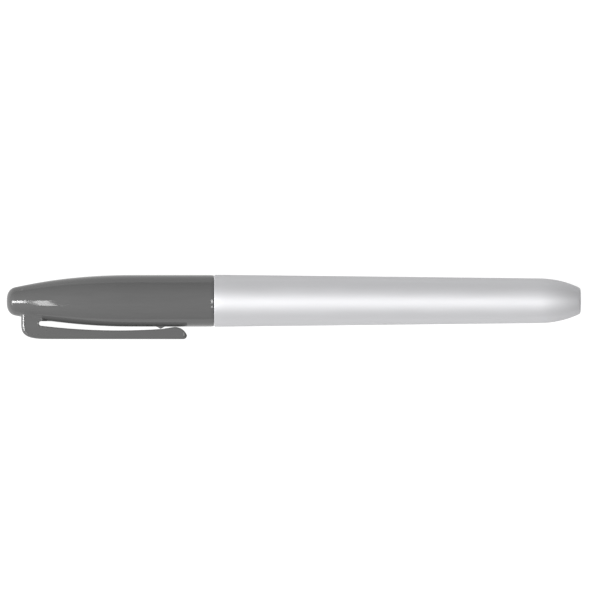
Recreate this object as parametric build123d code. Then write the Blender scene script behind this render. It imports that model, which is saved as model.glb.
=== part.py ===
"""Capped felt tip marker, as an assembly of eight separate pieces.

Frame, in millimetres: X runs along the marker's axis, from the cap's closed nose (-X) to the
barrel's closed tail (+X). The origin is on the axis, in the plane where the cap's rim stops
against the barrel's shoulder. The marker lies on its side: +Z is up, and the pocket clip
points to -Y. "Depth" below means the distance from the axis towards -Y.
"""

import os
from math import asin, atan2, cos, pi, sin, sqrt

from build123d import *

# ---------------------------------------------------------------- barrel
BARREL_END_X = 87.3  # tail face
BARREL_R = 6.19
LAND_END_X = 2.4
TAPER_END_X = 77.6
TAPER_END_R = 5.34
TAIL_ARC_R = 22.5
TAIL_EDGE_ROUND = 0.9
BARREL_RIM_ROUND = 0.25
HOLDER_SEAT_END_X = 11.6
CAVITY_FRONT_R = 4.95
CAVITY_SHOULDER_X = 78.5
CAVITY_TAIL_X = 85.4
CAVITY_TAIL_R = 1.9
CAVITY_SHOULDER_ROUND = 3.0
CAVITY_TAIL_ROUND = 0.8
RIB_COUNT = 6
RIB_THICKNESS = 0.6
RIB_START_X = 14.0
RIB_LEAD_IN = 3.0
RIB_START_HEIGHT = 0.1
RIB_BORE_R = 4.03
TAIL_STOP_X = 74.2
TAIL_STOP_R = 2.6
GATE_RECESS_R = 1.1
GATE_RECESS_DEPTH = 0.35
GATE_STUB_R = 0.4
GATE_STUB_HEIGHT = 0.2

# ---------------------------------------------------------------- nib holder
SKIRT_END_X = 11.0
SKIRT_R = 5.0
SKIRT_LEAD_IN = 0.8
SKIRT_END_R = 4.7
NECK_R = 5.0
NECK_END_X = -13.0
NECK_ROUND = 1.6
BEAD_X = -4.0
BEAD_HEIGHT = 0.09
BEAD_HALF_LENGTH = 0.6
SEAL_LAND_R = 3.55
SEAL_LAND_START_X = -18.3
SEAL_LAND_END_X = -25.4
SEAL_LAND_ROUND = 1.2
NOSE_CONE_START_R = 3.25
NOSE_CONE_START_X = -25.9
HOLDER_TIP_R = 1.95
HOLDER_TIP_X = -33.0
HOLDER_TIP_ROUND = 0.2
RESERVOIR_SEAT_R = 4.12
RESERVOIR_SEAT_X = -11.6
INK_CHAMBER_R = 2.2
INK_CHAMBER_START_X = -13.4
NIB_SEAT_X = -21.0
BREATHER_COUNT = 3
BREATHER_GROOVE_R = 0.28

# ---------------------------------------------------------------- nib and reservoir
NIB_R = 1.40
NIB_TIP_X = -37.5
NIB_POINT_LENGTH = 2.6
NIB_POINT_R = 0.75
NIB_SHOULDER_ROUND = 2.5
NIB_POINT_ROUND = 0.6
NIB_TAIL_X = -4.0
NIB_TAIL_CHAMFER = 0.4
RESERVOIR_START_X = -11.0
RESERVOIR_END_X = 74.0
RESERVOIR_R = 3.90
RESERVOIR_EDGE_ROUND = 0.25
FILM_R = 4.00
FILM_SETBACK = 0.3

# ---------------------------------------------------------------- inner cap
INNER_CAP_RIM_X = -18.8
INNER_FLANGE_END_X = -19.9
INNER_FLANGE_R = 4.90
INNER_CAP_R = 4.25
INNER_CAP_BORE_R = 3.66
INNER_CAP_TAPER_X = -25.6
INNER_CAP_END_X = -40.6
INNER_CAP_END_R = 2.75
INNER_CAP_WALL = 0.8
INNER_CAP_TAPER_ROUND = 2.0
INNER_CAP_END_ROUND = 0.6
INNER_CAP_MOUTH_R = 4.16
INNER_CAP_LEAD_IN = 0.8
SEAL_LIP_XS = (-20.8, -23.6)
SEAL_LIP_R = 3.58
SEAL_LIP_HALF_LENGTH = 0.35
SEAL_LIP_ROOT_R = 3.76
SEAL_LIP_CHAMFER = 0.06

# ---------------------------------------------------------------- cap
CAP_R = 6.18
CAP_NOSE_X = -49.7
CAP_RIM_X = -0.2
OGIVE_START_X = -20.0  # the cap is a cylinder from here to its rim
OGIVE_ARC_R = 140.0
NOSE_ROUND_START_X = -47.4
NOSE_POWER = 2.7  # 2 would round the nose as an ellipse; a higher power leaves it blunter
NOSE_POINT_COUNT = 9
CAP_RIM_ROUND = 0.45
CAP_WALL = 1.05
CAP_BORE_R = 5.12
MOUTH_CHAMFER = 0.25
BEAD_GROOVE_DEPTH = 0.08
BEAD_GROOVE_HALF_LENGTH = 0.7
SNAP_RING_RAMP_X = -17.5
SNAP_RING_START_X = -17.8
SNAP_RING_END_X = -18.6
SNAP_RING_R = 4.80
FLANGE_POCKET_R = 5.0
FLANGE_POCKET_END_X = -20.0
CAP_CAVITY_END_X = -46.4
VENT_RIB_COUNT = 6
VENT_RIB_THICKNESS = 0.8
VENT_RIB_CLEARANCE = 0.12
VENT_RIB_RUN_OUT = 1.0
VENT_HOLE_X = -41.0
VENT_HOLE_R = 0.45
VENT_HOLE_DEPTH = 4.0  # the middle of its length
VENT_HOLE_LENGTH = 3.0
NUB_X = -12.9
NUB_HEIGHT = 0.50
NUB_HALF_BASE = 0.92
NUB_HALF_WIDTH = 1.2
NUB_ROOT = 0.4

# ---------------------------------------------------------------- clip
CLIP_HALF_WIDTH = 2.65
CLIP_TIP_HALF_WIDTH = 2.1
CLIP_FRONT_X = -46.16
CLIP_OUTER_DEPTH = 9.21
CLIP_CORNER_START_DEPTH = 5.6
CLIP_CORNER_END_X = -39.5
CLIP_CORNER_CONTROLS = ((CLIP_FRONT_X, -8.65), (-44.5, -CLIP_OUTER_DEPTH))
CLIP_TIP_CORNER_R = 0.9
CLIP_INNER_DEPTH = 7.07  # the inner face's greatest depth, at CLIP_CREST_X
CLIP_CREST_X = -23.0
CLIP_INNER_ARC_R = 152.0
SLOT_END_X = -41.95
SLOT_END_R = 0.55
SLOT_FLOOR_END_X = -39.0  # where the slot's flat floor runs out into the ogive
BUMP_X = -9.5
BUMP_DEPTH = 6.26
BUMP_R = 3.05
RAMP_START_X = -12.6
CLIP_EDGE_ROUND = 0.8
SADDLE_HALF_WIDTH = 2.9
SADDLE_START_DEPTH = 2.4
SADDLE_END_DEPTH = 6.4

# ---------------------------------------------------------------- clip flexure
PIVOT_X = -39.0
PIVOT_DEPTH = 7.70
KNUCKLE_R = 1.10
KNUCKLE_CLEARANCE = 0.05
KNUCKLE_END_GAP = 0.1
FLEX_SLIT = 0.14

HALF_SPACE = 60.0  # a block of twice this size, which holds all on one side of a plane
OVERRUN = 1.0  # how far a cutting solid runs past the face that it cuts
ROOT_OVERLAP = 0.2  # how far an added rib reaches into the wall that carries it


def turned(points):
    """A solid of revolution about X from its half outline, as (x, radius) or (x, radius, round)."""
    face = make_face(Polyline(*[point[:2] for point in points], close=True))
    for x, radius, rounding in [point for point in points if len(point) == 3]:
        corner = face.vertices().sort_by_distance((x, radius, 0))[0]
        face = fillet(corner, rounding)
    return revolve(face, Axis.X)


def tube(x0, x1, outer_r, inner_r=0.0):
    """A round bar along X, or a tube if it has an inner radius."""
    return turned([(x0, inner_r), (x1, inner_r), (x1, outer_r), (x0, outer_r)])


def ring(x, base_r, height, half_length):
    """A low rounded ring on a cylinder of radius base_r, with a root just below its surface."""
    root_r = base_r - height
    crown = ThreePointArc(
        (x - half_length, base_r), (x, base_r + height), (x + half_length, base_r)
    )
    root = Polyline(
        (x + half_length, base_r), (x + half_length, root_r),
        (x - half_length, root_r), (x - half_length, base_r),
    )
    return revolve(make_face(crown + root), Axis.X)


def edges_at(shape, x, radius, tolerance=0.02):
    """The round edges of a turned shape that lie at one x and one radius."""
    found = []
    for edge in shape.edges().filter_by(GeomType.CIRCLE):
        if abs(edge.arc_center.X - x) < tolerance and abs(edge.radius - radius) < tolerance:
            found.append(edge)
    return found


def fins(count, thickness, outline):
    """Thin radial plates, evenly spaced round the axis, from one outline as (x, radius) points."""
    plate = extrude(make_face(Polyline(*outline, close=True)), thickness / 2, both=True)
    plates = [Rot(360.0 * i / count, 0, 0) * plate for i in range(count)]
    return plates[0].fuse(*plates[1:])


# ---------------------------------------------------------------- barrel
def taper_slope():
    return (BARREL_R - TAPER_END_R) / (TAPER_END_X - LAND_END_X)


def barrel_outside():
    """The land, the long taper, the tail arc tangent to it, and the flat tail face, solid."""
    slope = taper_slope()
    norm = sqrt(1 + slope**2)
    centre_x = TAPER_END_X - TAIL_ARC_R * slope / norm
    centre_r = TAPER_END_R - TAIL_ARC_R / norm

    def arc_r(x):
        return centre_r + sqrt(TAIL_ARC_R**2 - (x - centre_x) ** 2)

    middle_x = (TAPER_END_X + BARREL_END_X) / 2
    tail_r = arc_r(BARREL_END_X)
    outline = Polyline(
        (BARREL_END_X, tail_r), (BARREL_END_X, 0), (0, 0), (0, BARREL_R),
        (LAND_END_X, BARREL_R), (TAPER_END_X, TAPER_END_R),
    )
    tail = ThreePointArc(
        (TAPER_END_X, TAPER_END_R), (middle_x, arc_r(middle_x)), (BARREL_END_X, tail_r)
    )
    body = revolve(make_face(outline + tail), Axis.X)
    body = fillet(edges_at(body, BARREL_END_X, tail_r), TAIL_EDGE_ROUND)
    return fillet(edges_at(body, 0, BARREL_R), BARREL_RIM_ROUND)


def cavity_r(x):
    """The barrel cavity's radius, which keeps the wall's thickness as the barrel tapers."""
    return CAVITY_FRONT_R - taper_slope() * (x - HOLDER_SEAT_END_X)


def make_barrel():
    body = barrel_outside()
    cavity = turned([
        (-OVERRUN, 0), (-OVERRUN, SKIRT_R), (HOLDER_SEAT_END_X, SKIRT_R),
        (HOLDER_SEAT_END_X, cavity_r(HOLDER_SEAT_END_X)),
        (CAVITY_SHOULDER_X, cavity_r(CAVITY_SHOULDER_X), CAVITY_SHOULDER_ROUND),
        (CAVITY_TAIL_X, CAVITY_TAIL_R, CAVITY_TAIL_ROUND), (CAVITY_TAIL_X, 0),
    ])
    body -= cavity
    # Long ribs centre the reservoir and leave air paths; their steps stop it at the tail.
    root_r = cavity_r(CAVITY_SHOULDER_X) + ROOT_OVERLAP
    body += fins(RIB_COUNT, RIB_THICKNESS, [
        (RIB_START_X, cavity_r(RIB_START_X) + ROOT_OVERLAP),
        (RIB_START_X, cavity_r(RIB_START_X) - RIB_START_HEIGHT),
        (RIB_START_X + RIB_LEAD_IN, RIB_BORE_R), (TAIL_STOP_X, RIB_BORE_R),
        (TAIL_STOP_X, TAIL_STOP_R),
        (CAVITY_SHOULDER_X, TAIL_STOP_R), (CAVITY_SHOULDER_X, root_r),
    ])
    recess_x = BARREL_END_X - GATE_RECESS_DEPTH
    body -= tube(recess_x, BARREL_END_X + OVERRUN, GATE_RECESS_R)
    return body + tube(recess_x - ROOT_OVERLAP, recess_x + GATE_STUB_HEIGHT, GATE_STUB_R)


# ---------------------------------------------------------------- nib holder
def make_nib_holder():
    """The front moulding: skirt pressed into the barrel, neck, seal land and nose."""
    body = turned([
        (SKIRT_END_X, 0), (SKIRT_END_X, SKIRT_END_R), (SKIRT_END_X - SKIRT_LEAD_IN, SKIRT_R),
        (NECK_END_X, NECK_R, NECK_ROUND), (SEAL_LAND_START_X, SEAL_LAND_R, SEAL_LAND_ROUND),
        (SEAL_LAND_END_X, SEAL_LAND_R), (NOSE_CONE_START_X, NOSE_CONE_START_R),
        (HOLDER_TIP_X, HOLDER_TIP_R, HOLDER_TIP_ROUND), (HOLDER_TIP_X, 0),
    ])
    body += ring(BEAD_X, NECK_R, BEAD_HEIGHT, BEAD_HALF_LENGTH)
    body -= turned([
        (SKIRT_END_X + OVERRUN, 0), (SKIRT_END_X + OVERRUN, RESERVOIR_SEAT_R),
        (RESERVOIR_SEAT_X, RESERVOIR_SEAT_R), (INK_CHAMBER_START_X, INK_CHAMBER_R),
        (NIB_SEAT_X, INK_CHAMBER_R), (NIB_SEAT_X, NIB_R), (HOLDER_TIP_X - OVERRUN, NIB_R),
        (HOLDER_TIP_X - OVERRUN, 0),
    ])
    # Air enters along grooves in the nib's seat.
    groove = Pos((NIB_SEAT_X + HOLDER_TIP_X) / 2, NIB_R, 0) * Rot(0, 90, 0) * Cylinder(
        BREATHER_GROOVE_R, NIB_SEAT_X - HOLDER_TIP_X + 2 * OVERRUN
    )
    for i in range(BREATHER_COUNT):
        body -= Rot(360.0 * i / BREATHER_COUNT, 0, 0) * groove
    return body


# ---------------------------------------------------------------- nib and reservoir
def make_nib():
    """A pressed fibre rod with a bullet point, its tail pushed into the reservoir."""
    return turned([
        (NIB_TAIL_X, 0), (NIB_TAIL_X, NIB_R - NIB_TAIL_CHAMFER),
        (NIB_TAIL_X - NIB_TAIL_CHAMFER, NIB_R),
        (NIB_TIP_X + NIB_POINT_LENGTH, NIB_R, NIB_SHOULDER_ROUND),
        (NIB_TIP_X, NIB_POINT_R, NIB_POINT_ROUND), (NIB_TIP_X, 0),
    ])


def make_reservoir_core():
    """The ink-filled fibre bundle, with a blind hole that the nib's tail has pressed in it."""
    bundle = turned([
        (RESERVOIR_START_X, 0), (RESERVOIR_START_X, RESERVOIR_R, RESERVOIR_EDGE_ROUND),
        (RESERVOIR_END_X, RESERVOIR_R, RESERVOIR_EDGE_ROUND), (RESERVOIR_END_X, 0),
    ])
    return bundle - tube(RESERVOIR_START_X - OVERRUN, NIB_TAIL_X, NIB_R)


def make_reservoir_film():
    """The plastic film wrapped round the fibre bundle, open at both ends."""
    start_x, end_x = RESERVOIR_START_X + FILM_SETBACK, RESERVOIR_END_X - FILM_SETBACK
    return tube(start_x, end_x, FILM_R, RESERVOIR_R)


# ---------------------------------------------------------------- inner cap
def make_inner_cap():
    """A thimble that seals on the holder's seal land; the outer cap turns round its flange."""
    body = turned([
        (INNER_CAP_RIM_X, 0), (INNER_CAP_RIM_X, INNER_FLANGE_R),
        (INNER_FLANGE_END_X, INNER_FLANGE_R), (INNER_FLANGE_END_X, INNER_CAP_R),
        (INNER_CAP_TAPER_X, INNER_CAP_R, INNER_CAP_TAPER_ROUND),
        (INNER_CAP_END_X, INNER_CAP_END_R, INNER_CAP_END_ROUND), (INNER_CAP_END_X, 0),
    ])
    bottom_x = INNER_CAP_END_X + INNER_CAP_WALL
    body -= turned([
        (INNER_CAP_RIM_X + OVERRUN, 0), (INNER_CAP_RIM_X + OVERRUN, INNER_CAP_MOUTH_R),
        (INNER_CAP_RIM_X, INNER_CAP_MOUTH_R),
        (INNER_CAP_RIM_X - INNER_CAP_LEAD_IN, INNER_CAP_BORE_R),
        (INNER_CAP_TAPER_X, INNER_CAP_BORE_R, INNER_CAP_TAPER_ROUND),
        (bottom_x, INNER_CAP_END_R - INNER_CAP_WALL, INNER_CAP_END_ROUND), (bottom_x, 0),
    ])
    for x in SEAL_LIP_XS:
        start_x, end_x = x - SEAL_LIP_HALF_LENGTH, x + SEAL_LIP_HALF_LENGTH
        lip = tube(start_x, end_x, SEAL_LIP_ROOT_R, SEAL_LIP_R)
        corners = edges_at(lip, start_x, SEAL_LIP_R) + edges_at(lip, end_x, SEAL_LIP_R)
        body += chamfer(corners, SEAL_LIP_CHAMFER)
    return body


# ---------------------------------------------------------------- cap
def ogive_r(x, inset=0.0):
    """The cap's radius at x, on its outside or an inset below it."""
    back = max(0.0, OGIVE_START_X - x)
    return CAP_R - OGIVE_ARC_R + sqrt((OGIVE_ARC_R - inset) ** 2 - back**2)


def ogive_arc(x0, x1, inset=0.0):
    """The ogive between two places, as an arc."""
    middle = (x0 + x1) / 2
    return ThreePointArc(
        (x0, ogive_r(x0, inset)), (middle, ogive_r(middle, inset)), (x1, ogive_r(x1, inset))
    )


def nose_point(share):
    """A point of the nose's rounded end, from the axis at share 0 to the ogive at share 1."""
    turn = share * pi / 2
    length = NOSE_ROUND_START_X - CAP_NOSE_X
    x = NOSE_ROUND_START_X - length * cos(turn) ** (2 / NOSE_POWER)
    return x, ogive_r(x) * sin(turn) ** (2 / NOSE_POWER)


def cap_outside():
    """The cap's cylinder, ogive and rounded nose, still solid."""
    rim = Polyline(
        (CAP_NOSE_X, 0), (CAP_RIM_X, 0), (CAP_RIM_X, CAP_R), (OGIVE_START_X, CAP_R)
    )
    slope = (OGIVE_START_X - NOSE_ROUND_START_X) / OGIVE_ARC_R
    points = [nose_point(i / (NOSE_POINT_COUNT - 1)) for i in range(1, NOSE_POINT_COUNT - 1)]
    nose = Spline(
        (CAP_NOSE_X, 0), *points, (NOSE_ROUND_START_X, ogive_r(NOSE_ROUND_START_X)),
        tangents=[(0, 1), (1, slope)],
    )
    body = revolve(make_face(rim + ogive_arc(OGIVE_START_X, NOSE_ROUND_START_X) + nose), Axis.X)
    return fillet(edges_at(body, CAP_RIM_X, CAP_R), CAP_RIM_ROUND)


def cap_cavity():
    """The cap's hollow: mouth, bore, snap ring, flange pocket and nose chamber."""
    end_r = ogive_r(CAP_CAVITY_END_X, CAP_WALL)
    outline = Polyline(
        (CAP_CAVITY_END_X, end_r), (CAP_CAVITY_END_X, 0), (OVERRUN, 0),
        (OVERRUN, CAP_BORE_R + MOUTH_CHAMFER), (CAP_RIM_X, CAP_BORE_R + MOUTH_CHAMFER),
        (CAP_RIM_X - MOUTH_CHAMFER, CAP_BORE_R),
        (SNAP_RING_RAMP_X, CAP_BORE_R), (SNAP_RING_START_X, SNAP_RING_R),
        (SNAP_RING_END_X, SNAP_RING_R), (SNAP_RING_END_X, FLANGE_POCKET_R),
        (FLANGE_POCKET_END_X, FLANGE_POCKET_R),
        (FLANGE_POCKET_END_X, ogive_r(FLANGE_POCKET_END_X, CAP_WALL)),
    )
    nose = ogive_arc(FLANGE_POCKET_END_X, CAP_CAVITY_END_X, CAP_WALL)
    cavity = revolve(make_face(outline + nose), Axis.X)
    return cavity + ring(BEAD_X, CAP_BORE_R, BEAD_GROOVE_DEPTH, BEAD_GROOVE_HALF_LENGTH)


def clip_inner_depth(x):
    """Depth of the clip's inner face, which follows the cap's ogive at a distance."""
    return CLIP_INNER_DEPTH - CLIP_INNER_ARC_R + sqrt(
        CLIP_INNER_ARC_R**2 - (CLIP_CREST_X - x) ** 2
    )


def clip_side():
    """The clip seen from the side: front wall, arm, rounded tip, bump, ramp and slot end."""
    slot_x = SLOT_END_X + SLOT_END_R
    slot_depth = clip_inner_depth(slot_x)
    ramp_depth = clip_inner_depth(RAMP_START_X)
    bump_centre = BUMP_DEPTH + BUMP_R
    # The ramp is tangent to the bump's circle, and the tip is where that circle ends.
    span_x = BUMP_X - RAMP_START_X
    span_depth = bump_centre - ramp_depth
    span = sqrt(span_x**2 + span_depth**2)
    turn = atan2(span_depth, span_x) + asin(sqrt(span**2 - BUMP_R**2) / span)
    touch = (BUMP_X - BUMP_R * cos(turn), -bump_centre + BUMP_R * sin(turn))
    top = (BUMP_X, -BUMP_DEPTH)
    tip_depth = CLIP_OUTER_DEPTH - CLIP_TIP_CORNER_R
    tip_x = BUMP_X + sqrt(BUMP_R**2 - (bump_centre - tip_depth) ** 2)
    corner = CLIP_TIP_CORNER_R * (1 - sqrt(0.5))
    middle_x = (slot_x + RAMP_START_X) / 2
    slot_floor = -slot_depth + 2 * SLOT_END_R
    outline = Curve() + [
        Line((SLOT_FLOOR_END_X, 0), (CLIP_FRONT_X, 0)),
        Line((CLIP_FRONT_X, 0), (CLIP_FRONT_X, -CLIP_CORNER_START_DEPTH)),
        Bezier(
            (CLIP_FRONT_X, -CLIP_CORNER_START_DEPTH), *CLIP_CORNER_CONTROLS,
            (CLIP_CORNER_END_X, -CLIP_OUTER_DEPTH),
        ),
        Line(
            (CLIP_CORNER_END_X, -CLIP_OUTER_DEPTH),
            (tip_x - CLIP_TIP_CORNER_R, -CLIP_OUTER_DEPTH),
        ),
        ThreePointArc(
            (tip_x - CLIP_TIP_CORNER_R, -CLIP_OUTER_DEPTH),
            (tip_x - corner, -CLIP_OUTER_DEPTH + corner), (tip_x, -tip_depth),
        ),
        ThreePointArc((tip_x, -tip_depth), top, touch),
        Line(touch, (RAMP_START_X, -ramp_depth)),
        ThreePointArc(
            (RAMP_START_X, -ramp_depth), (middle_x, -clip_inner_depth(middle_x)),
            (slot_x, -slot_depth),
        ),
        ThreePointArc(
            (slot_x, -slot_depth), (SLOT_END_X, -slot_depth + SLOT_END_R), (slot_x, slot_floor)
        ),
        Line((slot_x, slot_floor), (SLOT_FLOOR_END_X, slot_floor)),
        Line((SLOT_FLOOR_END_X, slot_floor), (SLOT_FLOOR_END_X, 0)),
    ]
    return extrude(make_face(outline), 2 * CLIP_HALF_WIDTH, both=True)


def clip_plan():
    """The clip seen from outside: parallel at its root, then narrowing to a rounded tip."""
    start, end = CLIP_FRONT_X - OVERRUN, BUMP_X + BUMP_R + OVERRUN
    outline = [
        (start, -CLIP_HALF_WIDTH), (CLIP_CORNER_END_X, -CLIP_HALF_WIDTH),
        (end, -CLIP_TIP_HALF_WIDTH), (end, CLIP_TIP_HALF_WIDTH),
        (CLIP_CORNER_END_X, CLIP_HALF_WIDTH), (start, CLIP_HALF_WIDTH),
    ]
    flat = make_face(Polyline(*[(x, 0, z) for x, z in outline], close=True))
    return extrude(flat, amount=2 * CLIP_OUTER_DEPTH, dir=(0, -1, 0))


def clip_saddle():
    """The root's flanks, which widen until they run into the nose's sides."""
    outline = [(0, SADDLE_HALF_WIDTH), (-SADDLE_START_DEPTH, SADDLE_HALF_WIDTH),
               (-SADDLE_END_DEPTH, CLIP_HALF_WIDTH)]
    outline += [(y, -z) for y, z in reversed(outline)]
    flat = make_face(Polyline(*[(CLIP_FRONT_X, y, z) for y, z in outline], close=True))
    return extrude(flat, amount=SLOT_END_X + SLOT_END_R - CLIP_FRONT_X, dir=(1, 0, 0))


def make_clip():
    """The whole clip with its root, before it is parted at the flexure."""
    side = clip_side()
    clip = side & clip_plan()
    # The back's two long edges, and the two of the rounded corner that runs into it.
    outer = [
        edge for edge in clip.edges()
        if edge.center().Y < -CLIP_OUTER_DEPTH + CLIP_EDGE_ROUND
        and abs(edge.center().Z) > CLIP_HALF_WIDTH / 2 and edge.length > CLIP_HALF_WIDTH
    ]
    clip = fillet(outer, CLIP_EDGE_ROUND)
    return clip + (side & clip_saddle())


def parted_clip():
    """The root, which is one with the cap, and the arm, which turns on it."""
    clip = make_clip()
    pivot = Pos(PIVOT_X, -PIVOT_DEPTH, 0)
    block = Box(2 * HALF_SPACE, 2 * HALF_SPACE, 2 * HALF_SPACE)
    root_side = Pos(PIVOT_X - FLEX_SLIT / 2 - HALF_SPACE, 0, 0) * block
    arm_side = Pos(PIVOT_X + FLEX_SLIT / 2 + HALF_SPACE, 0, 0) * block
    socket = pivot * Cylinder(KNUCKLE_R + KNUCKLE_CLEARANCE, 2 * HALF_SPACE)
    knuckle = pivot * Cylinder(KNUCKLE_R, 2 * (CLIP_HALF_WIDTH - KNUCKLE_END_GAP))
    return (clip & root_side) - socket, (clip & arm_side) + knuckle


def make_cap_shell(root):
    body = cap_outside() + root
    body -= cap_cavity()
    # Short ribs stop the inner cap's flange and centre it, and let air past.
    rib_r = INNER_CAP_R + VENT_RIB_CLEARANCE
    rib_end_x = INNER_CAP_TAPER_X - VENT_RIB_RUN_OUT
    body += fins(VENT_RIB_COUNT, VENT_RIB_THICKNESS, [
        (FLANGE_POCKET_END_X, ogive_r(FLANGE_POCKET_END_X, CAP_WALL) + ROOT_OVERLAP),
        (FLANGE_POCKET_END_X, rib_r), (INNER_CAP_TAPER_X, rib_r),
        (rib_end_x, ogive_r(rib_end_x, CAP_WALL) + ROOT_OVERLAP),
    ])
    vent = Pos(VENT_HOLE_X, -VENT_HOLE_DEPTH, 0) * Rot(90, 0, 0) * Cylinder(
        VENT_HOLE_R, VENT_HOLE_LENGTH
    )
    body -= vent
    nub = make_face(Polyline(
        (NUB_X - NUB_HALF_BASE, -CAP_R), (NUB_X - NUB_HALF_BASE, -CAP_R + NUB_ROOT),
        (NUB_X + NUB_HALF_BASE, -CAP_R + NUB_ROOT), (NUB_X + NUB_HALF_BASE, -CAP_R),
        (NUB_X, -CAP_R - NUB_HEIGHT), close=True,
    ))
    return body + extrude(nub, NUB_HALF_WIDTH, both=True)


if __name__ == "__main__":
    clip_root, clip_arm = parted_clip()
    pieces = {
        "barrel": make_barrel(),
        "nib_holder": make_nib_holder(),
        "nib": make_nib(),
        "reservoir_core": make_reservoir_core(),
        "reservoir_film": make_reservoir_film(),
        "inner_cap": make_inner_cap(),
        "cap_shell": make_cap_shell(clip_root),
        "clip_arm": clip_arm,
    }
    os.makedirs("parts", exist_ok=True)
    for name, shape in pieces.items():
        export_step(shape, f"parts/{name}.step")
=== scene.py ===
"""The looks of the felt tip marker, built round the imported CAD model.

The marker lies along X: the barrel's tail is at +X, the cap's nose at -X, and the pocket clip
points to -Y. "Depth" is the distance from the marker's axis towards -Y. Shapes are worked out
in millimetres and turned into metres where their meshes are made.
"""

from math import asin, atan2, cos, pi, radians, sin, sqrt, tan

import bmesh
import bpy
import numpy as np
from mathutils import Matrix, Vector


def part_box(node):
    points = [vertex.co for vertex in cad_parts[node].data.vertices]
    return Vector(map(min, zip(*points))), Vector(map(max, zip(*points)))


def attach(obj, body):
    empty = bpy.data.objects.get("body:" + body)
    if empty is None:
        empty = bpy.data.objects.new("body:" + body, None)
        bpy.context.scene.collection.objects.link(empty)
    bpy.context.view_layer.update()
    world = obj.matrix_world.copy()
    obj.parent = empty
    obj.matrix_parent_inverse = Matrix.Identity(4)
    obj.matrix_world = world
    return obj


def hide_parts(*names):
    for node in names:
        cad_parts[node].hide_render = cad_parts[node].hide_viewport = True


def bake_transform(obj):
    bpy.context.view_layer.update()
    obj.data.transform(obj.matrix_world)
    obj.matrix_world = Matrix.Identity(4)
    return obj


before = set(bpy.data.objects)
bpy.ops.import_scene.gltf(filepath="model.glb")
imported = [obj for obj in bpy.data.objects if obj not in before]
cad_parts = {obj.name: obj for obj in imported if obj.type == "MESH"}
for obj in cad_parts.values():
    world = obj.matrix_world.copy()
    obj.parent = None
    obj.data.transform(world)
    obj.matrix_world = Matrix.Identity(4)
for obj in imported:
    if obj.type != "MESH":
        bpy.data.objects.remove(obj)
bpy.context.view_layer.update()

MM = 0.001


def box_mm(node):
    """A CAD node's lowest and highest corners, in millimetres."""
    low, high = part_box(node)
    return low / MM, high / MM


# ---------------------------------------------------------------- sizes, in millimetres
BARREL_LOW, BARREL_HIGH = box_mm("barrel")
CAP_LOW, CAP_HIGH = box_mm("cap_shell")
CLIP_LOW, CLIP_HIGH = box_mm("clip_arm")
NIB_LOW, NIB_HIGH = box_mm("nib")
HOLDER_LOW, HOLDER_HIGH = box_mm("nib_holder")
INNER_LOW, INNER_HIGH = box_mm("inner_cap")

BARREL_R = BARREL_HIGH.y
TAIL_X = BARREL_HIGH.x
FRONT_X = -0.12
LAND_END_X = 2.4
TAPER_END_X = TAIL_X - 9.7
TAPER_END_R = 5.34
TAIL_ARC_R = 22.5
BARREL_BORE_R = 5.0

CAP_R = CAP_HIGH.y
NOSE_X = CAP_LOW.x
RIM_X = CAP_HIGH.x
OGIVE_START_X = NOSE_X + 29.7
OGIVE_ARC_R = 140.0
NOSE_ROUND_START_X = NOSE_X + 2.3
NOSE_POWER = 2.7  # 2 would round the nose as an ellipse; a higher power leaves it blunter
NOSE_SAG = 0.14  # how far the moulding's nose lies off the axis, on the clip's side
CAP_WALL = 1.05
CAP_BORE_R = 5.12

CLIP_DEPTH = -CLIP_LOW.y
CLIP_HALF_WIDTH = CLIP_HIGH.z
CLIP_TIP_HALF_WIDTH = 2.1
CLIP_FRONT_X = NOSE_X + 3.54
CLIP_CUT_X = -40.3  # where the springy arm is parted from the cap, in the mesh
CLIP_INNER_DEPTH = 7.07
CLIP_CREST_X = -23.0
CLIP_INNER_ARC_R = 152.0
SLOT_X = -41.4
SLOT_R = 0.55
SLOT_FLOOR_END_X = -39.0
BUMP_X = -9.5
BUMP_DEPTH = 6.26
BUMP_R = 3.05
RAMP_START_X = -12.6
TIP_CORNER_R = 0.9
CLIP_EDGE_ROUND = 0.3
CLIP_OUTER_EDGE_ROUND = 0.8  # on the clip's back and down its front wall
CLIP_CROWN = 0.03  # how far the clip's back falls away to its sides, per mm squared
ROOT_FILLET = 0.35
NUB_X = -12.9
NUB_RUN = 0.92
NUB_RISE = 0.5
NUB_HALF_WIDTH = 1.2
VENT_X = -41.0
VENT_R = 0.45
RIM_LEAD_LENGTH = 0.7  # the cap narrows a little just before its rim
RIM_LEAD_SLOPE = 0.13
RIM_ROUND = 0.15


# ---------------------------------------------------------------- outlines
def rounded(points, steps=8):
    """Points of an outline, (x, r) or (x, r, round), with an arc at each corner that has a round."""
    outline = []
    for i, point in enumerate(points):
        if len(point) == 2:
            outline.append(point)
            continue
        corner = Vector(point[:2])
        back = (Vector(points[i - 1][:2]) - corner).normalized()
        on = (Vector(points[i + 1][:2]) - corner).normalized()
        half = back.angle(on) / 2
        reach = point[2] / tan(half)
        centre = corner + (back + on).normalized() * (point[2] / sin(half))
        first, last = corner + back * reach - centre, corner + on * reach - centre
        for k in range(steps + 1):
            outline.append(tuple(centre + first.slerp(last, k / steps) * point[2]))
    return outline


def between(x0, x1, count, height):
    """Points (x, height(x)), evenly spaced from x0 to x1."""
    return [(x, height(x)) for x in np.linspace(x0, x1, count)]


# ---------------------------------------------------------------- solid fields
def meet(a, b, rounding):
    """The field of what is inside both a and b, with the edge between them rounded."""
    rounding = np.maximum(rounding, 1e-6)
    outside = np.hypot(np.maximum(rounding + a, 0), np.maximum(rounding + b, 0))
    return np.minimum(-rounding, np.maximum(a, b)) + outside


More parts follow.
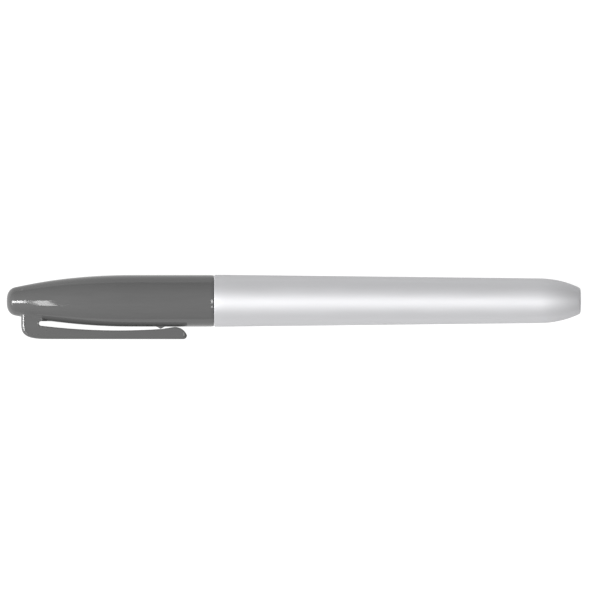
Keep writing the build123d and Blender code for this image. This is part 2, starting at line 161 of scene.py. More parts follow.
def join(a, b, fillet):
    """The field of what is inside a or b, with a fillet where they meet."""
    fillet = np.maximum(fillet, 1e-6)
    inside = np.hypot(np.maximum(fillet - a, 0), np.maximum(fillet - b, 0))
    return np.maximum(fillet, np.minimum(a, b)) - inside


def ease(value, start, end):
    """0 before start, 1 after end, and smooth between."""
    share = np.clip((value - start) / (end - start), 0, 1)
    return share * share * (3 - 2 * share)


class Profile:
    """The signed distance to a closed outline in a plane, read from a fine grid."""

    STEP = 0.05
    MARGIN = 1.0

    def __init__(self, outline):
        points = np.array(outline)
        self.low = points.min(0) - self.MARGIN
        counts = np.ceil((points.max(0) + self.MARGIN - self.low) / self.STEP).astype(int) + 1
        x = self.low[0] + self.STEP * np.arange(counts[0])[:, None]
        y = self.low[1] + self.STEP * np.arange(counts[1])[None, :]
        nearest = np.full(tuple(counts), np.inf)
        inside = np.zeros(tuple(counts), bool)
        for (ax, ay), (bx, by) in zip(points, np.roll(points, -1, axis=0)):
            length2 = (bx - ax) ** 2 + (by - ay) ** 2
            if length2 < 1e-12:
                continue
            share = np.clip(((x - ax) * (bx - ax) + (y - ay) * (by - ay)) / length2, 0, 1)
            gap = (x - ax - share * (bx - ax)) ** 2 + (y - ay - share * (by - ay)) ** 2
            nearest = np.minimum(nearest, gap)
            if ay != by:
                crosses = ((ay > y) != (by > y)) & (x < ax + (y - ay) * (bx - ax) / (by - ay))
                inside ^= crosses
        self.table = np.where(inside, -1, 1) * np.sqrt(nearest)

    def __call__(self, x, y):
        u = np.clip((x - self.low[0]) / self.STEP, 0, self.table.shape[0] - 1.001)
        v = np.clip((y - self.low[1]) / self.STEP, 0, self.table.shape[1] - 1.001)
        i, j = u.astype(int), v.astype(int)
        u, v = u - i, v - j
        t = self.table
        return (
            t[i, j] * (1 - u) * (1 - v) + t[i + 1, j] * u * (1 - v)
            + t[i, j + 1] * (1 - u) * v + t[i + 1, j + 1] * u * v
        )


# ---------------------------------------------------------------- meshes
def add_object(name, vertices_mm, faces, sharp_deg=35):
    """A mesh object from points in millimetres, smooth except at edges sharper than sharp_deg."""
    mesh = bpy.data.meshes.new(name)
    mesh.from_pydata([tuple(v) for v in np.asarray(vertices_mm) * MM], [], faces)
    piece = bpy.data.objects.new(name, mesh)
    bpy.context.scene.collection.objects.link(piece)
    finish_mesh(mesh, sharp_deg)
    return piece


def finish_mesh(mesh, sharp_deg=35):
    """Outward faces, smooth shading, and sharp edges where the surface turns quickly."""
    work = bmesh.new()
    work.from_mesh(mesh)
    bmesh.ops.recalc_face_normals(work, faces=work.faces)
    work.to_mesh(mesh)
    work.free()
    mesh.polygons.foreach_set("use_smooth", [True] * len(mesh.polygons))
    mesh.set_sharp_from_angle(angle=radians(sharp_deg))


def lathe(name, outline, segments=160, sharp_deg=35):
    """Turns an outline round X. It runs from axis to axis, or else closes on itself."""
    vertices, rings, faces = [], [], []
    for x, r in outline:
        count = 1 if r < 1e-6 else segments
        rings.append([len(vertices) + k for k in range(count)])
        for k in range(count):
            turn = 2 * pi * k / segments
            vertices.append((x, -r * cos(turn), r * sin(turn)))
    closed = len(rings[0]) > 1 and len(rings[-1]) > 1
    for a, b in zip(rings, rings[1:] + (rings[:1] if closed else [])):
        for k in range(segments):
            corners = [a[k % len(a)], a[(k + 1) % len(a)], b[(k + 1) % len(b)], b[k % len(b)]]
            faces.append(list(dict.fromkeys(corners)))
    return add_object(name, vertices, faces, sharp_deg)


def net(field, xs, turns, radii):
    """Nets the surface where field(x, depth, z) is 0, in cells of a cylindrical grid round X.

    Each cell that the surface crosses gets one vertex, moved onto the surface, and each grid
    edge that it crosses gets a face between the four cells round it."""
    x, turn, radius = np.meshgrid(xs, turns, radii, indexing="ij", sparse=True)
    value = field(x, radius * np.cos(turn), radius * np.sin(turn))
    value = np.concatenate([value, value[:, :1]], axis=1)
    turns = np.append(turns, turns[0] + 2 * pi)
    inside = value < 0
    axes = (xs, turns, radii)
    cells = tuple(n - 1 for n in value.shape)
    total = np.zeros(cells + (3,))
    count = np.zeros(cells)
    for axis in range(3):
        others = [a for a in range(3) if a != axis]
        low, high = [slice(None)] * 3, [slice(None)] * 3
        low[axis], high[axis] = slice(0, -1), slice(1, None)
        crossed = inside[tuple(low)] != inside[tuple(high)]
        share = value[tuple(low)] / np.where(crossed, value[tuple(low)] - value[tuple(high)], 1)
        for m in (0, 1):
            for n in (0, 1):
                part = [slice(None)] * 3
                part[others[0]] = slice(m, m + cells[others[0]])
                part[others[1]] = slice(n, n + cells[others[1]])
                hit = crossed[tuple(part)]
                count += hit
                total[..., axis] += np.where(hit, share[tuple(part)], 0)
                total[..., others[0]] += hit * m
                total[..., others[1]] += hit * n
    used = count > 0
    number = np.full(cells, -1)
    number[used] = np.arange(used.sum())
    where = np.argwhere(used)
    share = total[used] / count[used][:, None]
    x, turn, radius = (
        a[where[:, k]] + share[:, k] * np.diff(a)[where[:, k]] for k, a in enumerate(axes)
    )
    points = np.stack([x, radius * np.cos(turn), radius * np.sin(turn)], axis=1)
    points = onto_surface(field, points)
    faces = []
    for axis in range(3):
        b, c = (axis + 1) % 3, (axis + 2) % 3
        low, high = [slice(None)] * 3, [slice(None)] * 3
        low[axis], high[axis] = slice(0, -1), slice(1, None)
        edges = np.argwhere(inside[tuple(low)] != inside[tuple(high)])
        corners = []
        for db, dc in ((-1, -1), (0, -1), (0, 0), (-1, 0)):
            cell = edges.copy()
            cell[:, b] += db
            cell[:, c] += dc
            cell[:, 1] %= cells[1]
            held = np.all((cell >= 0) & (cell < np.array(cells)), axis=1)
            cell = np.clip(cell, 0, np.array(cells) - 1)
            corners.append(np.where(held, number[tuple(cell.T)], -1))
        quads = np.stack(corners, axis=1)
        if axis != 1:
            quads = quads[edges[:, 1] < cells[1]]
        faces.append(quads[(quads >= 0).all(axis=1)])
    points[:, 1] *= -1
    return points, np.concatenate(faces)


def onto_surface(field, points, rounds=5, reach=0.08, probe=0.01):
    """Moves points along the field's slope until they lie where it is 0."""
    for _ in range(rounds):
        value = field(*points.T)
        slope = np.stack([
            field(*(points + step).T) - field(*(points - step).T) for step in np.eye(3) * probe
        ], axis=1) / (2 * probe)
        move = -value[:, None] * slope / np.maximum((slope**2).sum(axis=1), 0.25)[:, None]
        length = np.linalg.norm(move, axis=1)
        points = points + move * np.minimum(1, reach / np.maximum(length, 1e-9))[:, None]
    return points


# ---------------------------------------------------------------- cap with its clip
def clip_inner_depth(x):
    return CLIP_INNER_DEPTH - CLIP_INNER_ARC_R + np.sqrt(
        CLIP_INNER_ARC_R**2 - (CLIP_CREST_X - x) ** 2
    )


def clip_side_outline():
    """The clip from the side, as (x, depth): front wall, back, tip, bump, inner face, slot end."""
    wall_depth, wall_pull_depth = 5.6, 8.65
    flat_start_x, flat_pull_x = -39.5, -44.5
    below_axis = -1
    controls = np.array([
        (CLIP_FRONT_X, wall_depth), (CLIP_FRONT_X, wall_pull_depth), (flat_pull_x, CLIP_DEPTH),
        (flat_start_x, CLIP_DEPTH),
    ])
    outline = [(SLOT_FLOOR_END_X, below_axis), (CLIP_FRONT_X, below_axis)]
    for t in np.linspace(0, 1, 25):
        weights = ((1 - t) ** 3, 3 * t * (1 - t) ** 2, 3 * t**2 * (1 - t), t**3)
        outline.append(tuple(controls.T @ np.array(weights)))
    bump_centre = BUMP_DEPTH + BUMP_R
    tip_depth = CLIP_DEPTH - TIP_CORNER_R
    tip_x = BUMP_X + sqrt(BUMP_R**2 - (bump_centre - tip_depth) ** 2)
    for turn in np.linspace(0, pi / 2, 9):
        x = tip_x - TIP_CORNER_R * (1 - sin(turn))
        outline.append((x, tip_depth + TIP_CORNER_R * cos(turn)))
    ramp_depth = clip_inner_depth(RAMP_START_X)
    span_x, span_depth = BUMP_X - RAMP_START_X, bump_centre - ramp_depth
    span = sqrt(span_x**2 + span_depth**2)
    touch = atan2(span_depth, span_x) + asin(sqrt(span**2 - BUMP_R**2) / span)
    start = pi - asin((bump_centre - tip_depth) / BUMP_R)
    for turn in np.linspace(start, touch, 33):
        outline.append((BUMP_X - BUMP_R * cos(turn), bump_centre - BUMP_R * sin(turn)))
    outline += between(RAMP_START_X, SLOT_X, 40, clip_inner_depth)
    slot_depth = clip_inner_depth(SLOT_X) - SLOT_R
    for turn in np.linspace(0, pi, 17):
        outline.append((SLOT_X - SLOT_R * sin(turn), slot_depth + SLOT_R * cos(turn)))
    return outline + [(SLOT_FLOOR_END_X, slot_depth - SLOT_R)]


def ogive_r(x, inset=0.0):
    """The radius of the cap's outside behind its nose, or of the same shape set inwards."""
    back = max(0.0, OGIVE_START_X - x)
    return CAP_R - OGIVE_ARC_R + sqrt((OGIVE_ARC_R - inset) ** 2 - back**2)


def cap_outside_outline():
    """The cap's outside, as (x, r), and the same again below the axis."""
    upper = []
    for turn in np.linspace(0, pi / 2, 40):
        reach = (NOSE_ROUND_START_X - NOSE_X) * cos(turn) ** (2 / NOSE_POWER)
        x = NOSE_ROUND_START_X - reach
        upper.append((x, ogive_r(x) * sin(turn) ** (2 / NOSE_POWER)))
    upper += between(NOSE_ROUND_START_X, OGIVE_START_X, 60, ogive_r)[1:]
    beyond = 2.0
    upper.append((RIM_X - RIM_LEAD_LENGTH, CAP_R))
    upper.append((RIM_X + beyond, CAP_R - RIM_LEAD_SLOPE * (RIM_LEAD_LENGTH + beyond)))
    return upper + [(x, -r) for x, r in reversed(upper)]


def cap_cavity_outline():
    """The cap's hollow, as (x, r): mouth, bead groove, bore, snap ring, flange pocket, nose."""
    open_x, below_axis_r = 4, -3
    lead = 0.25
    groove_x, groove_r = -4.0, CAP_BORE_R + 0.08
    ring_x, ring_r = -17.8, 4.8
    pocket_x, pocket_end_x, pocket_r = -18.6, -20.0, 5.0
    end_x = NOSE_X + 3.3
    outline = [
        (open_x, below_axis_r), (open_x, CAP_BORE_R + lead), (RIM_X, CAP_BORE_R + lead),
        (RIM_X - lead, CAP_BORE_R), (groove_x + 0.7, CAP_BORE_R), (groove_x + 0.3, groove_r),
        (groove_x - 0.3, groove_r), (groove_x - 0.7, CAP_BORE_R), (ring_x + 0.3, CAP_BORE_R),
        (ring_x, ring_r), (pocket_x, ring_r), (pocket_x, pocket_r), (pocket_end_x, pocket_r),
    ]
    outline += between(pocket_end_x, end_x, 40, lambda x: ogive_r(x, CAP_WALL))
    return outline + [(end_x, below_axis_r)]


def clip_field():
    """The field of the clip with its root, which reaches down into the cap's nose."""
    side = Profile(clip_side_outline())
    taper_start_x, taper_length = -40, 33

    def clip(x, depth, z):
        outer = ease(depth, 7.2, 8.6)
        flat = side(x, depth + CLIP_CROWN * z**2 * outer)
        along = np.clip((x - taper_start_x) / taper_length, 0, 1)
        half_width = CLIP_HALF_WIDTH - (CLIP_HALF_WIDTH - CLIP_TIP_HALF_WIDTH) * along
        # the pad under the slot's closed end narrows to a tenth of the clip's width
        run_out = ease(x, SLOT_X, SLOT_FLOOR_END_X) * (1 - ease(depth, 5.0, 5.5))
        half_width = half_width * (1 - 0.9 * run_out)
        softer = np.maximum(outer, ease(-x, 43.5, 45.5))
        rounding = CLIP_EDGE_ROUND + (CLIP_OUTER_EDGE_ROUND - CLIP_EDGE_ROUND) * softer
        return meet(flat, np.abs(z) - half_width, rounding)

    return clip


def cap_field(clip):
    """The field of the cap moulding: shell, the clip's root, nub, vent and the ribs inside."""
    cavity = Profile(cap_cavity_outline())
    shell = Profile(cap_outside_outline())

    def outside(x, depth, z):
        sag = NOSE_SAG * (1 - ease(x, NOSE_X, -36))
        return meet(shell(x, np.hypot(depth - sag, z)), x - RIM_X, RIM_ROUND)

    def nub(x, depth, z):
        rise = np.abs(x - NUB_X) * NUB_RISE + (depth - CAP_R - NUB_RISE) * NUB_RUN
        slopes = rise / np.hypot(NUB_RUN, NUB_RISE)
        return meet(slopes, np.maximum(np.abs(z) - NUB_HALF_WIDTH, 5.6 - depth), 0.1)

    def ribs(x, depth, z):
        front_x, back_x, inner_r, outer_r, half_thick, apart = -26.2, -20.3, 4.37, 5.3, 0.4, pi / 3
        r = np.hypot(depth, z)
        turn = np.arctan2(z, depth)
        near = (turn + apart / 2) % apart - apart / 2
        plate = np.abs(r * np.sin(near)) - half_thick
        ends = np.maximum(x - back_x, front_x - x)
        return np.maximum(np.maximum(plate, ends), np.maximum(inner_r - r, r - outer_r))

    def whole(x, depth, z):
        r = np.hypot(depth, z)
        root = np.maximum(clip(x, depth, z), x - CLIP_CUT_X - 2)
        body = join(outside(x, depth, z), root, ROOT_FILLET * (1 - ease(x, -40.8, -39.6)))
        body = join(body, nub(x, depth, z), 0.12)
        vent = np.maximum(np.hypot(x - VENT_X, z) - VENT_R, 2 - depth)
        body = np.maximum(body, -np.maximum(vent, depth - 5.0))
        body = np.maximum(body, -cavity(x, r + 0 * x))
        return np.minimum(body, ribs(x, depth, z))

    return whole


def spaced(*spans):
    """Values from span to span, as (start, end, step), each once."""
    values = [np.arange(start, end - step / 2, step) for start, end, step in spans]
    return np.append(np.concatenate(values), spans[-1][1])


def cut_across(work, faces, keep_beyond):
    """Cuts faces at the clip's parting plane, drops one side of them, and closes the hole."""
    cut_x = CLIP_CUT_X * MM
    edges = [edge for face in faces for edge in face.edges]
    vertices = [vertex for face in faces for vertex in face.verts]
    geometry = dict.fromkeys(faces + edges + vertices)  # each once, in the same order every run
    made = bmesh.ops.bisect_plane(
        work, geom=list(geometry), dist=1e-8, plane_co=(cut_x, 0, 0), plane_no=(1, 0, 0),
        clear_outer=not keep_beyond, clear_inner=keep_beyond,
    )
    seam = [e for e in made["geom_cut"] if isinstance(e, bmesh.types.BMEdge)]
    bmesh.ops.edgeloop_fill(work, edges=seam)


def make_cap():
    """The cap with its clip's root, and the clip's springy arm, which meet at a plane."""
    # finer steps where the shape turns quickly
    xs = spaced(
        (NOSE_X - 0.14, -46.0, 0.12), (-46.0, -40.0, 0.16), (-40.0, -27.0, 0.65),
        (-27.0, -25.5, 0.25), (-25.5, -20.5, 0.5), (-20.5, -17.0, 0.16), (-17.0, -13.9, 0.5),
        (-13.9, -11.9, 0.12), (-11.9, -6.0, 0.18), (-6.0, -5.0, 0.5), (-5.0, -3.0, 0.2),
        (-3.0, -1.0, 0.5), (-1.0, 0.04, 0.08),
    )
    turns = np.radians(spaced((-42, 42, 0.85), (42, 318 - 3.5, 3.5)))
    radii = spaced((0.04, 9.4, 0.13))
    clip = clip_field()

    def arm(x, depth, z):
        in_slot = CLIP_INNER_DEPTH - 3 * SLOT_R
        return np.maximum(clip(x, depth, z), in_slot - depth)

    pieces = []
    for name, field in (("cap_moulding", cap_field(clip)), ("pocket_clip", arm)):
        is_arm = name == "pocket_clip"
        points, quads = net(field, xs[xs > CLIP_CUT_X - 3] if is_arm else xs, turns, radii)
        mesh = bpy.data.meshes.new(name)
        mesh.from_pydata([tuple(p) for p in points * MM], [], quads.tolist())
        work = bmesh.new()
        work.from_mesh(mesh)
        if is_arm:
            cut_across(work, work.faces[:], True)
        else:
            # only the root's faces about the parting plane: the cap's wall is nearer the axis
            beyond = [
                face for face in work.faces
                if face.calc_center_median().x > (CLIP_CUT_X - 0.7) * MM
                and max(vertex.co.y for vertex in face.verts) < -5.7 * MM
                and min(vertex.co.x for vertex in face.verts) < (CLIP_CUT_X + 3) * MM
            ]
            cut_across(work, beyond, False)
        bmesh.ops.holes_fill(work, edges=[e for e in work.edges if e.is_boundary], sides=0)
        work.to_mesh(mesh)
        work.free()
        finish_mesh(mesh, 42)
        piece = bpy.data.objects.new(name, mesh)
        bpy.context.scene.collection.objects.link(piece)
        pieces.append(piece)
    return pieces


# ---------------------------------------------------------------- turned pieces
def barrel_r(x):
    """The barrel's outer radius: land, taper, then the tail's arc."""
    slope = (BARREL_R - TAPER_END_R) / (TAPER_END_X - LAND_END_X)
    norm = sqrt(1 + slope**2)
    centre_x = TAPER_END_X - TAIL_ARC_R * slope / norm
    centre_r = TAPER_END_R - TAIL_ARC_R / norm
    if x <= LAND_END_X:
        return BARREL_R
    if x <= TAPER_END_X:
        return BARREL_R - slope * (x - LAND_END_X)
    return centre_r + sqrt(TAIL_ARC_R**2 - (x - centre_x) ** 2)


def make_barrel():
    """The barrel moulding, with the gate's recess in its tail."""
    wall = 1.15
    gate_x = TAIL_X - 0.35
    cavity_end_x = TAIL_X - 1.9
    outline = [
        (gate_x + 0.2, 0), (gate_x + 0.2, 0.4, 0.05), (gate_x, 0.4, 0.05), (gate_x, 1.1, 0.08),
        (TAIL_X, 1.1, 0.08), (TAIL_X, barrel_r(TAIL_X), 0.9),
    ]
    outline += between(TAIL_X - 0.8, TAPER_END_X, 24, barrel_r)
    outline += between(TAPER_END_X, LAND_END_X, 60, barrel_r)[1:]
    outline += [(FRONT_X, BARREL_R, 0.2), (FRONT_X, BARREL_BORE_R), (11.6, BARREL_BORE_R)]
    outline += between(12.0, 78.5, 30, lambda x: barrel_r(x) - wall)
    outline += [(cavity_end_x, 1.9, 0.8), (cavity_end_x, 0)]
    return lathe("barrel_moulding", rounded(outline), 192)


def make_nib_holder():
    """The front moulding: skirt, neck with its snap bead, seal land, nose and nib seat."""
    back_x, nose_x = HOLDER_HIGH.x, HOLDER_LOW.x
    neck_r, neck_end_x = 5.0, -13.0
    bead_x, bead_r = -4.0, 5.09
    land_x, land_end_x, land_r = -18.3, -25.4, 3.55
    skirt_bore_r, throat_r, seat_r = 4.12, 2.2, 1.40
    seat_x, throat_x, skirt_bore_end_x = -21.0, -13.4, -11.6
    outline = [
        (back_x, skirt_bore_r), (back_x, 4.7, 0.1), (back_x - 0.8, neck_r, 0.3),
        (bead_x + 0.65, neck_r, 0.3), (bead_x + 0.15, bead_r, 0.2), (bead_x - 0.15, bead_r, 0.2),
        (bead_x - 0.65, neck_r, 0.3), (neck_end_x, neck_r, 1.6), (land_x, land_r, 1.2),
        (land_end_x, land_r, 0.12), (land_end_x - 0.5, land_r - 0.3, 0.3), (nose_x, 1.95, 0.22),
        (nose_x, seat_r, 0.06), (seat_x, seat_r), (seat_x, throat_r), (throat_x, throat_r),
        (skirt_bore_end_x, skirt_bore_r),
    ]
    return lathe("nib_holder_moulding", rounded(outline), 160)


def make_nib():
    """The fibre nib: a rod with a bullet point, its skin slightly uneven like cut felt."""
    r = NIB_HIGH.y
    tip_x = NIB_LOW.x
    outline = [(NIB_HIGH.x, 0), (NIB_HIGH.x, r - 0.4, 0.1), (NIB_HIGH.x - 0.4, r, 0.1)]
    outline += between(NIB_HIGH.x - 1, tip_x + 4.4, 60, lambda x: r)
    outline += [(tip_x + 2.6, r, 2.5), (tip_x, 0.75, 0.6), (tip_x, 0)]
    piece = lathe("felt_nib", rounded(outline, 14), 96, 60)
    rough = np.random.default_rng(7)
    for vertex in piece.data.vertices:
        if abs(vertex.co.y) + abs(vertex.co.z) > 1e-6:
            inward = 1 - rough.uniform(0, 0.008)
            vertex.co.y *= inward
            vertex.co.z *= inward
    return piece


def make_inner_cap():
    """The inner cap: a thimble with a flange, and two soft lips that seal on the holder."""
    rim_x, end_x, shoulder_x = INNER_HIGH.x, INNER_LOW.x, -25.6
    bore_r, lip_r, outer_r, flange_r = 3.66, 3.58, 4.25, 4.9
    flange, floor = 1.1, 0.8
    lip_xs = (-23.6, -20.8)
    outline = [
        (rim_x, bore_r + 0.5, 0.1), (rim_x, flange_r, 0.12), (rim_x - flange, flange_r, 0.12),
        (rim_x - flange, outer_r, 0.1), (shoulder_x, outer_r, 2.0), (end_x, 2.75, 0.6), (end_x, 0),
    ]
    inside = [(end_x + floor, 0), (end_x + floor, 1.95, 0.6), (shoulder_x, bore_r, 2.0)]
    for x in lip_xs:
        inside += [(x - 0.45, bore_r, 0.1), (x - 0.1, lip_r, 0.1), (x + 0.1, lip_r, 0.1),
                   (x + 0.45, bore_r, 0.1)]
    inside.append((rim_x - 0.8, bore_r, 0.2))
    return lathe_between_poles("inner_cap_thimble", outline, inside)


def lathe_between_poles(name, outside, inside):
    """A cup: its outside runs from the rim to the axis, and its inside from the axis to the rim."""
    outline = rounded(inside + outside)
    start = next(i for i, point in enumerate(outline) if point[1] < 1e-6)
    return lathe(name, outline[start:] + outline[:start], 144)


# ---------------------------------------------------------------- materials
class Finish:
    """A material under construction: its shader, and short ways to add nodes."""

    def __init__(self, name, colour, roughness, **sockets):
        self.material = bpy.data.materials.new(name)
        self.material.use_nodes = True
        self.tree = self.material.node_tree
        self.shader = self.tree.nodes["Principled BSDF"]
        self.shader.inputs["Base Color"].default_value = (*colour, 1)
        self.shader.inputs["Roughness"].default_value = roughness
        for socket, value in sockets.items():
            self.shader.inputs[socket.replace("_", " ")].default_value = value
        self.place = self.node("ShaderNodeTexCoord").outputs["Object"]

    def node(self, kind, **settings):
        made = self.tree.nodes.new(kind)
        for key, value in settings.items():
            setattr(made, key, value)
        return made

    def link(self, source, target):
        self.tree.links.new(source, target)

    def stretched(self, scale):
        """Object coordinates times a scale for each axis, in features per metre."""
        made = self.node("ShaderNodeMapping")
        made.inputs["Scale"].default_value = scale
        self.link(self.place, made.inputs["Vector"])
        return made.outputs["Vector"]

    def noise(self, scale, detail=3.0, roughness=0.5, distortion=0.0):
        made = self.node("ShaderNodeTexNoise")
        made.inputs["Scale"].default_value = 1.0
        made.inputs["Detail"].default_value = detail
        made.inputs["Roughness"].default_value = roughness
        made.inputs["Distortion"].default_value = distortion
        self.link(self.stretched(scale), made.inputs["Vector"])
        return made.outputs["Fac"]

    def remap(self, value, from_low, from_high, low, high):
        made = self.node("ShaderNodeMapRange", clamp=True)
        for socket, number in zip(
            ("From Min", "From Max", "To Min", "To Max"), (from_low, from_high, low, high)
        ):
            made.inputs[socket].default_value = number
        self.link(value, made.inputs["Value"])
        return made.outputs["Result"]

    def math(self, operation, a, b):
        made = self.node("ShaderNodeMath", operation=operation)
        for socket, value in zip(made.inputs, (a, b)):
            if isinstance(value, (int, float)):
                socket.default_value = value
            else:
                self.link(value, socket)
        return made.outputs[0]

    def blend(self, share, a, b):
        """Colour a where share is 0, b where it is 1; each is a colour or a socket."""
        made = self.node("ShaderNodeMix", data_type="RGBA")
        self.link(share, made.inputs["Factor"])
        for socket, value in zip((made.inputs[6], made.inputs[7]), (a, b)):
            if isinstance(value, tuple):
                socket.default_value = (*value, 1)
            else:
                self.link(value, socket)
        return made.outputs[2]

    def bump(self, height, distance_mm, strength=1.0, under=None):
        made = self.node("ShaderNodeBump")
        made.inputs["Strength"].default_value = strength
        made.inputs["Distance"].default_value = distance_mm * MM
        self.link(height, made.inputs["Height"])
        if under is not None:
            self.link(under, made.inputs["Normal"])
        return made.outputs["Normal"]

    def set(self, socket, source):
        self.link(source, self.shader.inputs[socket])

    def edges(self, low=0.52, high=0.62):
        """1 on worn outer edges and 0 elsewhere."""
        pointed = self.node("ShaderNodeNewGeometry").outputs["Pointiness"]
        return self.remap(pointed, low, high, 0, 1)


def moulded_plastic(name, colour, roughness, scuffs=0.5, mottle=0.03, **sockets):
    """Glossy moulded plastic: pigment flow along X, faint orange peel, fine scratches, worn edges."""
    finish = Finish(name, colour, roughness, **sockets)
    flow = finish.noise((90, 900, 900), 4, 0.55, 0.6)
    shade = finish.remap(flow, 0.3, 0.7, 1 - mottle, 1 + mottle)
    lighter = tuple(min(1.0, c * 1.25 + 0.02) for c in colour)
    varied = finish.node("ShaderNodeVectorMath", operation="SCALE")
    varied.inputs[0].default_value = colour
    finish.link(shade, varied.inputs["Scale"])
    worn = finish.math("MULTIPLY", finish.edges(), finish.noise((2500, 2500, 2500), 2))
    finish.set("Base Color", finish.blend(worn, varied.outputs["Vector"], lighter))
    along = finish.remap(finish.noise((150, 9000, 9000), 2), 0.62, 0.72, 0, 1)
    across = finish.remap(finish.noise((9000, 700, 700), 2), 0.66, 0.74, 0, 1)
    scratches = finish.math("MAXIMUM", along, across)
    smudge = finish.remap(finish.noise((120, 160, 160), 3), 0.35, 0.75, 0, 0.05)
    rough = finish.math("MULTIPLY", scratches, 0.10 * scuffs)
    rough = finish.math("ADD", finish.math("ADD", rough, smudge), roughness)
    finish.set("Roughness", rough)
    peel = finish.bump(finish.noise((1400, 1400, 1400), 2), 0.004, 0.1)
    finish.set("Normal", finish.bump(scratches, -0.0015, 0.5 * scuffs, peel))
    return finish.material


def felt(name, colour):
    """Pressed fibres that run along X, soaked with ink."""
    finish = Finish(name, colour, 0.85, Sheen_Weight=0.25, Sheen_Roughness=0.5)
    fibres = finish.noise((900, 16000, 16000), 4, 0.7, 0.4)
    tufts = finish.noise((5000, 9000, 9000), 3, 0.6)
    mixed = finish.math(
        "ADD", finish.math("MULTIPLY", fibres, 0.7), finish.math("MULTIPLY", tufts, 0.3))
    pale = tuple(c * 2.2 + 0.01 for c in colour)
    finish.set("Base Color", finish.blend(finish.remap(mixed, 0.4, 0.72, 0, 1), colour, pale))
    finish.set("Roughness", finish.remap(mixed, 0.3, 0.7, 0.7, 1.0))
    finish.set("Normal", finish.bump(mixed, 0.06, 0.9))
    return finish.material


def soft_plastic(name, colour):
    """Natural, slightly milky soft plastic with turning marks and a matte grain."""
    finish = Finish(name, colour, 0.42, Subsurface_Weight=0.25, Subsurface_Scale=0.001)
    grain = finish.noise((2200, 2200, 2200), 4, 0.6)
    flow = finish.noise((120, 500, 500), 3, 0.5)
    darker = tuple(c * 0.86 for c in colour)
    finish.set("Base Color", finish.blend(finish.remap(flow, 0.35, 0.7, 0, 1), colour, darker))
    finish.set("Roughness", finish.remap(grain, 0.3, 0.7, 0.34, 0.5))
    finish.set("Normal", finish.bump(grain, 0.006, 0.5))
    return finish.material


def film(name):
    """Thin clear wrapping film, creased a little along its overlap."""
    finish = Finish(name, (0.75, 0.76, 0.78), 0.2, Alpha=0.45)
    crease = finish.noise((200, 2600, 2600), 3, 0.6, 1.0)
    finish.set("Roughness", finish.remap(crease, 0.3, 0.7, 0.15, 0.35))
    finish.set("Normal", finish.bump(crease, 0.02, 0.6))
    finish.set("Base Color", finish.blend(
        finish.remap(crease, 0.45, 0.7, 0, 1), (0.75, 0.76, 0.78), (0.9, 0.91, 0.93)))
    return finish.material


CAP_PLASTIC = moulded_plastic("cap_plastic", (0.076, 0.076, 0.076), 0.06, IOR=1.36)
BARREL_PLASTIC = moulded_plastic(
    "barrel_plastic", (0.45, 0.45, 0.461), 0.52, 0.3, 0.01, Metallic=0.5)
HOLDER_PLASTIC = moulded_plastic("holder_plastic", (0.10, 0.10, 0.105), 0.2, 0.3)
INNER_PLASTIC = soft_plastic("inner_cap_plastic", (0.72, 0.72, 0.69))
NIB_FELT = felt("nib_felt", (0.028, 0.028, 0.032))
RESERVOIR_FIBRE = felt("reservoir_fibre", (0.05, 0.05, 0.06))
FILM = film("film_plastic")


# ---------------------------------------------------------------- the marker
def add_piece(piece, material, node, body=None):
    """Gives a piece its material, hides the CAD node that it stands for, and attaches it to the body
    it rides with, if one is given.
    """
    piece.data.materials.append(material)
    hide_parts(node)
    if body:
        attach(piece, body)


def make_marker():
    add_piece(make_barrel(), BARREL_PLASTIC, "barrel", "barrel")
    add_piece(make_nib_holder(), HOLDER_PLASTIC, "nib_holder", "barrel")
    add_piece(make_nib(), NIB_FELT, "nib", "barrel")
    add_piece(make_inner_cap(), INNER_PLASTIC, "inner_cap", "inner_cap")
    cap, clip = make_cap()
    add_piece(cap, CAP_PLASTIC, "cap_shell", "cap")
    add_piece(clip, CAP_PLASTIC, "clip_arm")
    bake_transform(clip)
    for node, material in (("reservoir_core", RESERVOIR_FIBRE), ("reservoir_film", FILM)):
        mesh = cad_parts[node].data
        mesh.materials.clear()
        mesh.materials.append(material)


make_marker()


# ---------------------------------------------------------------- stage, lights and camera
VIEW_WIDTH = 143.2 * MM
VIEW_CENTRE = Vector((20.33 * MM, 0.19 * MM, 0))
LENS_MM = 500.0
SENSOR_MM = 36.0
LIGHT_DISTANCE = 2.5
SOFTBOXES = (  # name, lean towards -X and -Y, half of its spread each way, irradiance
    ("key", 39, 5, 15, 8, 5.3),
    ("nose_near", 20.5, 13, 1.7, 14, 0.5),
    ("nose_far", 58, 22, 4, 14, 0.7),
    ("rim", -15, 3, 4, 7, 0.6),
    ("rim_low", -15, 27, 2.5, 4, 0.15),
)
FLOOR_GLOW = 0.96
FLOOR_WHITE = 0.12
SKY = 0.3


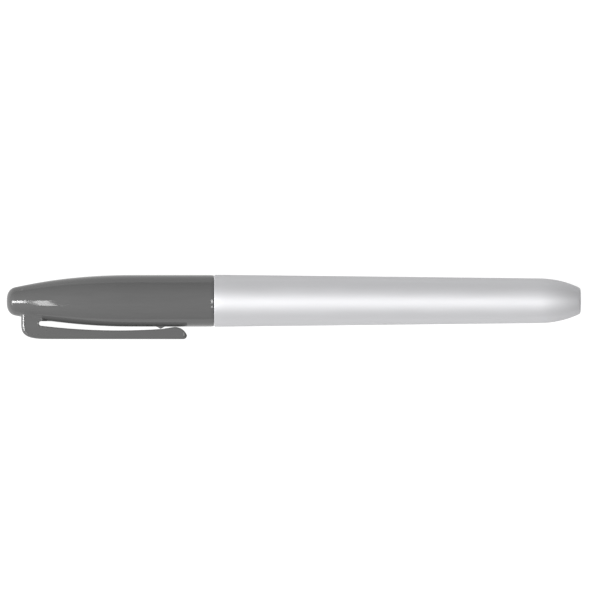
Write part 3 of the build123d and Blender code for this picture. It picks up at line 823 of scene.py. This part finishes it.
def make_floor():
    """A glowing white sheet under the marker, so that only a faint shadow shows on it."""
    half = 3.0
    z = -BARREL_R * MM - 0.02 * MM
    mesh = bpy.data.meshes.new("floor")
    mesh.from_pydata(
        [(-half, -half, z), (half, -half, z), (half, half, z), (-half, half, z)], [], [(0, 1, 2, 3)]
    )
    floor = bpy.data.objects.new("floor", mesh)
    bpy.context.scene.collection.objects.link(floor)
    finish = Finish("floor_paper", (FLOOR_WHITE,) * 3, 0.9, Emission_Strength=FLOOR_GLOW)
    finish.shader.inputs["Emission Color"].default_value = (1, 1, 1, 1)
    finish.shader.inputs["Specular IOR Level"].default_value = 0.0
    mesh.materials.append(finish.material)


def add_softbox(name, lean_x, lean_y, spread_x, spread_y, irradiance):
    """A soft light far above the marker. It leans, and is as large as seen from there, by angles
    in degrees, towards -X and -Y."""
    light = bpy.data.lights.new(name, "AREA")
    light.shape = "RECTANGLE"
    light.size = 2 * LIGHT_DISTANCE * tan(radians(spread_x))
    light.size_y = 2 * LIGHT_DISTANCE * tan(radians(spread_y))
    light.energy = irradiance * pi * LIGHT_DISTANCE**2
    lamp = bpy.data.objects.new(name, light)
    bpy.context.scene.collection.objects.link(lamp)
    direction = Vector((-tan(radians(lean_x)), -tan(radians(lean_y)), 1)).normalized()
    across = Vector((0, 1, 0)).cross(direction).normalized()
    turn = Matrix((across, direction.cross(across), direction)).transposed()
    lamp.matrix_world = Matrix.Translation(VIEW_CENTRE + direction * LIGHT_DISTANCE) @ turn.to_4x4()
    lamp.visible_camera = False
    return lamp


def make_lights():
    world = bpy.data.worlds.new("studio")
    world.use_nodes = True
    world.node_tree.nodes["Background"].inputs["Color"].default_value = (1, 1, 1, 1)
    world.node_tree.nodes["Background"].inputs["Strength"].default_value = SKY
    bpy.context.scene.world = world
    for softbox in SOFTBOXES:
        add_softbox(*softbox)


def make_camera():
    data = bpy.data.cameras.new("camera")
    data.lens = LENS_MM
    data.sensor_width = SENSOR_MM
    data.clip_start, data.clip_end = 0.01, 10
    camera = bpy.data.objects.new("camera", data)
    bpy.context.scene.collection.objects.link(camera)
    camera.location = VIEW_CENTRE + Vector((0, 0, VIEW_WIDTH * LENS_MM / SENSOR_MM))
    bpy.context.scene.camera = camera
    bpy.context.scene.view_settings.view_transform = "Standard"


make_floor()
make_lights()
make_camera()
